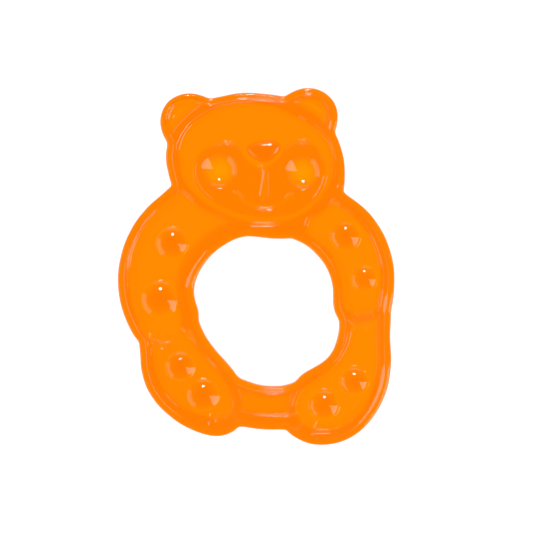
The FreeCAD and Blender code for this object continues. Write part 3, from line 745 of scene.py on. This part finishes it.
def fill(rings, fn, up):
    """Triangulated surface inside the edge strip, finer where the surface bends."""
    fine = lattice(FINE)
    coarse = lattice(COARSE * (1.0 if up else 1.3))
    lim = RING_IN + 0.55 * FINE

    def keep(pts, extra):
        return pts[-sample(F["edge"], pts[:, 0], pts[:, 1]) > extra]

    rows = []
    if up:
        near = -sample(F["edge"], XX.ravel(), YY.ravel()).reshape(XX.shape)
        for field, levels, only in FEATURES:
            for level in levels:
                for l in march(field, level):
                    r = resample(l, ROW_STEP, 1)
                    ok = -sample(F["edge"], r[:, 0], r[:, 1]) > RING_IN + 0.12
                    if only is not None:
                        ok &= only(r[:, 0], r[:, 1])
                    rows.append(r[ok])
    rows = thin(np.concatenate(rows), 0.085) if rows else np.zeros((0, 2))

    fine, coarse = keep(fine, lim), keep(coarse, lim + 0.25)
    e = 0.2
    for_bend = fine
    x, y = for_bend[:, 0], for_bend[:, 1]
    z = fn(x, y)
    bend = (np.abs(fn(x + e, y) + fn(x - e, y) - 2 * z) + np.abs(fn(x, y + e) + fn(x, y - e) - 2 * z)) / (e * e)
    busy = bend > (0.10 if up else 0.12)
    # grow the busy area so that the change of density lies on calm ground
    mark = np.zeros(XX.shape, bool)
    iu = np.round((x[busy] - GX[0]) / G).astype(int)
    iv = np.round((y[busy] - GY[0]) / G).astype(int)
    mark[iv, iu] = True
    for _ in range(2):
        g = mark.copy()
        g[1:] |= mark[:-1]
        g[:-1] |= mark[1:]
        g[:, 1:] |= mark[:, :-1]
        g[:, :-1] |= mark[:, 1:]
        mark = g

    def marked(pts):
        a = np.round((pts[:, 0] - GX[0]) / G).astype(int)
        b = np.round((pts[:, 1] - GY[0]) / G).astype(int)
        return mark[b, a]

    pts = np.concatenate([fine[marked(fine)], coarse[~marked(coarse)]])
    if len(rows):
        # leave out lattice points that crowd the rows
        cell = {}
        for k, (a, b) in enumerate(np.floor(rows / 0.2).astype(int).tolist()):
            cell.setdefault((a, b), []).append(k)
        clear = np.ones(len(pts), bool)
        for k, ((a, b), q) in enumerate(zip(np.floor(pts / 0.2).astype(int).tolist(), pts)):
            for da in (-1, 0, 1):
                for db in (-1, 0, 1):
                    for m in cell.get((a + da, b + db), ()):
                        if (rows[m, 0] - q[0]) ** 2 + (rows[m, 1] - q[1]) ** 2 < 0.026:
                            clear[k] = False
        pts = np.concatenate([rows, pts[clear]])
    ring_pts = np.concatenate([r[2] for r in rings])
    ring_ids = np.concatenate([r[0] + np.arange(r[1]) for r in rings])
    edges, off = [], 0
    for r in rings:
        edges += [(off + i, off + (i + 1) % r[1]) for i in range(r[1])]
        off += r[1]
    allp = np.concatenate([ring_pts, pts])
    out = geometry.delaunay_2d_cdt([Vector((float(a), float(b))) for a, b in allp],
                                   edges, [], 0, 1e-7)
    vo, fo, orig = out[0], out[2], out[3]
    if len(vo) != len(allp):
        raise ValueError("triangulation changed the points: %d to %d" % (len(allp), len(vo)))
    back_map = np.array([o[0] for o in orig])
    tri = np.array([f for f in fo])
    tri = back_map[tri]
    cen = allp[tri].mean(1)
    d = -sample(F["edge"], cen[:, 0], cen[:, 1])
    tri_ring = (tri < len(ring_pts)).all(1)
    keepers = (d > RING_IN - 0.02) | (~tri_ring & (d > RING_IN - 0.3))
    tri = tri[keepers]
    z = fn(pts[:, 0], pts[:, 1])
    gx, gy = slope(fn, pts[:, 0], pts[:, 1])
    s_ = 1.0 if up else -1.0
    nr = np.stack([-gx * s_, -gy * s_, np.full(len(pts), s_)], 1)
    nr /= np.linalg.norm(nr, axis=1)[:, None]
    start = add(np.column_stack([pts, z]), nr)
    ids = np.concatenate([ring_ids, start + np.arange(len(pts))])
    a, b, c = allp[tri[:, 0]], allp[tri[:, 1]], allp[tri[:, 2]]
    ccw = (b[:, 0] - a[:, 0]) * (c[:, 1] - a[:, 1]) - (b[:, 1] - a[:, 1]) * (c[:, 0] - a[:, 0]) > 0
    t = ids[tri]
    wrong = ccw != up
    t[wrong] = t[wrong][:, ::-1]
    faces.append(t)


fill(rings_top, relief, True)
fill(rings_back, back, False)

co = np.concatenate(verts)
nr = np.concatenate(normals)
quads = np.concatenate([f for f in faces if f.shape[1] == 4])
tris = np.concatenate([f for f in faces if f.shape[1] == 3])
mesh = bpy.data.meshes.new("bear_moulding")
mesh.vertices.add(len(co))
mesh.vertices.foreach_set("co", (co * MM).astype(np.float32).ravel())
loops = np.concatenate([quads.ravel(), tris.ravel()])
mesh.loops.add(len(loops))
mesh.loops.foreach_set("vertex_index", loops.astype(np.int32))
mesh.polygons.add(len(quads) + len(tris))
mesh.polygons.foreach_set("loop_start", np.concatenate(
    [np.arange(len(quads)) * 4, len(quads) * 4 + np.arange(len(tris)) * 3]).astype(np.int32))
mesh.update(calc_edges=True)
mesh.validate()
mesh.shade_smooth()
mesh.normals_split_custom_set_from_vertices([Vector(n) for n in nr.tolist()])
moulding = bpy.data.objects.new("bear_moulding", mesh)
bpy.context.scene.collection.objects.link(moulding)
print("mesh: %d vertices, %d quads, %d triangles" % (len(co), len(quads), len(tris)))


# ------------------------------------------------------------------ materials
def elastomer():
    mat = bpy.data.materials.new("tinted_elastomer")
    mat.use_nodes = True
    nt = mat.node_tree
    nt.nodes.clear()
    out = nt.nodes.new("ShaderNodeOutputMaterial")
    bsdf = nt.nodes.new("ShaderNodeBsdfPrincipled")
    bsdf.inputs["Base Color"].default_value = (1.0, 0.745, 0.3, 1.0)
    bsdf.inputs["Transmission Weight"].default_value = 1.0
    bsdf.inputs["IOR"].default_value = 1.45
    bsdf.inputs["Roughness"].default_value = 0.04
    # gloss: faint flow marks and handling haze, finer than the eye picks out at once
    tex = nt.nodes.new("ShaderNodeTexCoord")
    haze = nt.nodes.new("ShaderNodeTexNoise")
    haze.inputs["Scale"].default_value = 160.0
    haze.inputs["Detail"].default_value = 5.0
    haze.inputs["Roughness"].default_value = 0.6
    ramp = nt.nodes.new("ShaderNodeMapRange")
    ramp.inputs["From Min"].default_value = 0.35
    ramp.inputs["From Max"].default_value = 0.75
    ramp.inputs["To Min"].default_value = 0.008
    ramp.inputs["To Max"].default_value = 0.022
    nt.links.new(tex.outputs["Object"], haze.inputs["Vector"])
    nt.links.new(haze.outputs["Fac"], ramp.inputs["Value"])
    nt.links.new(ramp.outputs["Result"], bsdf.inputs["Roughness"])
    # skin of the moulding: very low swell plus a trace of fine texture
    swell = nt.nodes.new("ShaderNodeTexNoise")
    swell.inputs["Scale"].default_value = 110.0
    swell.inputs["Detail"].default_value = 2.0
    bump = nt.nodes.new("ShaderNodeBump")
    bump.inputs["Strength"].default_value = 0.08
    bump.inputs["Distance"].default_value = 0.00012
    nt.links.new(tex.outputs["Object"], swell.inputs["Vector"])
    nt.links.new(swell.outputs["Fac"], bump.inputs["Height"])
    nt.links.new(bump.outputs["Normal"], bsdf.inputs["Normal"])
    vol = nt.nodes.new("ShaderNodeVolumeAbsorption")
    # absorbed per metre: density * (1 - colour)
    vol.inputs["Density"].default_value = 1500.0
    vol.inputs["Color"].default_value = (1 - 6.0 / 1500, 1 - 150.0 / 1500, 0.0, 1.0)
    nt.links.new(bsdf.outputs["BSDF"], out.inputs["Surface"])
    nt.links.new(vol.outputs["Volume"], out.inputs["Volume"])
    return mat


moulding.data.materials.append(elastomer())
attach(moulding, "root")
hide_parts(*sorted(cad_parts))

# ------------------------------------------------------------------ floor, light, camera
floor_mesh = bpy.data.meshes.new("floor")
S = 3.0
floor_mesh.from_pydata([(-S, -S, -0.0003), (S, -S, -0.0003), (S, S, -0.0003), (-S, S, -0.0003)],
                       [], [(0, 1, 2, 3)])
floor = bpy.data.objects.new("light_table", floor_mesh)
bpy.context.scene.collection.objects.link(floor)
fm = bpy.data.materials.new("light_table")
fm.use_nodes = True
nt = fm.node_tree
nt.nodes.clear()
o = nt.nodes.new("ShaderNodeOutputMaterial")
em = nt.nodes.new("ShaderNodeEmission")
em.inputs["Color"].default_value = (1, 1, 1, 1)
em.inputs["Strength"].default_value = 1.15
nt.links.new(em.outputs["Emission"], o.inputs["Surface"])
floor_mesh.materials.append(fm)
floor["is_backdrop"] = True

# Studio round the object: dark overhead, a small key light behind the head, a broad panel on
# the left near the horizon, a reflector on the right, a pale low horizon.
world = bpy.data.worlds.new("studio")
bpy.context.scene.world = world
world.use_nodes = True
wn = world.node_tree
wn.nodes.clear()
coord = wn.nodes.new("ShaderNodeTexCoord")
sep = wn.nodes.new("ShaderNodeSeparateXYZ")
wn.links.new(coord.outputs["Generated"], sep.inputs["Vector"])


def math_node(op, a, b=None, c=None):
    n = wn.nodes.new("ShaderNodeMath")
    n.operation = op
    for i, v in enumerate((a, b, c)):
        if v is None:
            continue
        if isinstance(v, (int, float)):
            n.inputs[i].default_value = v
        else:
            wn.links.new(v, n.inputs[i])
    return n.outputs[0]


def window(value, lo, hi, soft):
    """1 between lo and hi, falling to 0 over soft."""
    def ramp(a, b):
        n = wn.nodes.new("ShaderNodeMapRange")
        n.interpolation_type = "SMOOTHSTEP"
        n.inputs["From Min"].default_value = a
        n.inputs["From Max"].default_value = b
        n.inputs["To Min"].default_value = 0.0
        n.inputs["To Max"].default_value = 1.0
        wn.links.new(value, n.inputs["Value"])
        return n.outputs["Result"]
    up = ramp(lo - soft / 2, lo + soft / 2)
    down = ramp(hi - soft / 2, hi + soft / 2)
    return math_node("MULTIPLY", up, math_node("SUBTRACT", 1.0, down))


X_, Y_, Z_ = sep.outputs["X"], sep.outputs["Y"], sep.outputs["Z"]
DEG = math.degrees(1.0)
azim = math_node("MULTIPLY", math_node("ARCTAN2", Y_, X_), DEG)                   # -180..180
azim_w = math_node("MULTIPLY", math_node("ARCTAN2", math_node("MULTIPLY", Y_, -1.0),
                                         math_node("MULTIPLY", X_, -1.0)), DEG)   # 0 towards -X
zen = math_node("MULTIPLY", math_node("ARCCOSINE", Z_), DEG)


def direction(az, ze):
    a, z = math.radians(az), math.radians(ze)
    return (math.sin(z) * math.cos(a), math.sin(z) * math.sin(a), math.cos(z))


def spot(az, ze, half, soft):
    v = direction(az, ze)
    n = wn.nodes.new("ShaderNodeVectorMath")
    n.operation = "DOT_PRODUCT"
    wn.links.new(coord.outputs["Generated"], n.inputs[0])
    n.inputs[1].default_value = v
    ang = math_node("MULTIPLY", math_node("ARCCOSINE", math_node("MINIMUM", n.outputs["Value"], 0.9999999)), DEG)
    r = wn.nodes.new("ShaderNodeMapRange")
    r.interpolation_type = "SMOOTHSTEP"
    r.inputs["From Min"].default_value = half - soft / 2
    r.inputs["From Max"].default_value = half + soft / 2
    r.inputs["To Min"].default_value = 1.0
    r.inputs["To Max"].default_value = 0.0
    wn.links.new(ang, r.inputs["Value"])
    return r.outputs["Result"]


parts = []
parts.append(math_node("MULTIPLY", spot(90.0, 46.5, 6.2, 1.8), 36.0))
left = math_node("MULTIPLY", window(azim_w, -18.0, 54.0, 8.0), window(zen, 65.0, 97.0, 8.0))
parts.append(math_node("MULTIPLY", left, 1.3))
# right reflector: a triangle with its tip high
tip = wn.nodes.new("ShaderNodeMapRange")
tip.inputs["From Min"].default_value = 30.0
tip.inputs["From Max"].default_value = 62.0
tip.inputs["To Min"].default_value = -14.0
tip.inputs["To Max"].default_value = -45.0
wn.links.new(zen, tip.inputs["Value"])
low_side = math_node("GREATER_THAN", azim, tip.outputs["Result"])
tip2 = wn.nodes.new("ShaderNodeMapRange")
tip2.inputs["From Min"].default_value = 29.0
tip2.inputs["From Max"].default_value = 96.0
tip2.inputs["To Min"].default_value = -8.0
tip2.inputs["To Max"].default_value = -4.0
wn.links.new(zen, tip2.inputs["Value"])
high_side = math_node("LESS_THAN", azim, tip2.outputs["Result"])
right = math_node("MULTIPLY", math_node("MULTIPLY", low_side, high_side), window(zen, 31.0, 94.0, 4.0))
parts.append(math_node("MULTIPLY", right, 3.0))
far_side = math_node("MULTIPLY", window(azim, 62.0, 112.0, 14.0), window(zen, 74.0, 96.0, 6.0))
parts.append(math_node("MULTIPLY", far_side, 0.8))
parts.append(math_node("MULTIPLY", window(zen, 86.0, 130.0, 4.0), 0.9))
parts.append(math_node("MULTIPLY", math_node("ABSOLUTE", 0.02), 1.0))
total = parts[0]
for p in parts[1:]:
    total = math_node("ADD", total, p)
bg = wn.nodes.new("ShaderNodeBackground")
wn.links.new(total, bg.inputs["Strength"])
bg.inputs["Color"].default_value = (1, 1, 1, 1)
plain = wn.nodes.new("ShaderNodeBackground")
plain.inputs["Color"].default_value = (0.98, 0.98, 0.98, 1)
plain.inputs["Strength"].default_value = 1.0
path = wn.nodes.new("ShaderNodeLightPath")
mix = wn.nodes.new("ShaderNodeMixShader")
wo = wn.nodes.new("ShaderNodeOutputWorld")
# what shows behind and through the object is the pale room; the studio shows in reflections
wn.links.new(math_node("MAXIMUM", path.outputs["Is Camera Ray"], path.outputs["Is Transmission Ray"]),
             mix.inputs["Fac"])
wn.links.new(bg.outputs["Background"], mix.inputs[1])
wn.links.new(plain.outputs["Background"], mix.inputs[2])
wn.links.new(mix.outputs["Shader"], wo.inputs["Surface"])

DIST = 1.5
WIDTH = 0.1652
cam_data = bpy.data.cameras.new("camera")
cam_data.sensor_width = 36.0
cam_data.sensor_fit = "HORIZONTAL"
cam_data.lens = 36.0 * DIST / WIDTH
cam_data.clip_end = 20.0
camera = bpy.data.objects.new("camera", cam_data)
camera.location = (0.00318, 0.0, 0.0045 + DIST)
camera.rotation_euler = (0, 0, 0)
bpy.context.scene.collection.objects.link(camera)
bpy.context.scene.camera = camera

view = bpy.context.scene.view_settings
view.view_transform = "Standard"
view.look = "None"
view.exposure = 0.0
view.gamma = 1.0
cyc = bpy.context.scene.cycles
cyc.max_bounces = 16
cyc.transmission_bounces = 14
cyc.glossy_bounces = 8
cyc.transparent_max_bounces = 8
cyc.sample_clamp_indirect = 0.0

low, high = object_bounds()
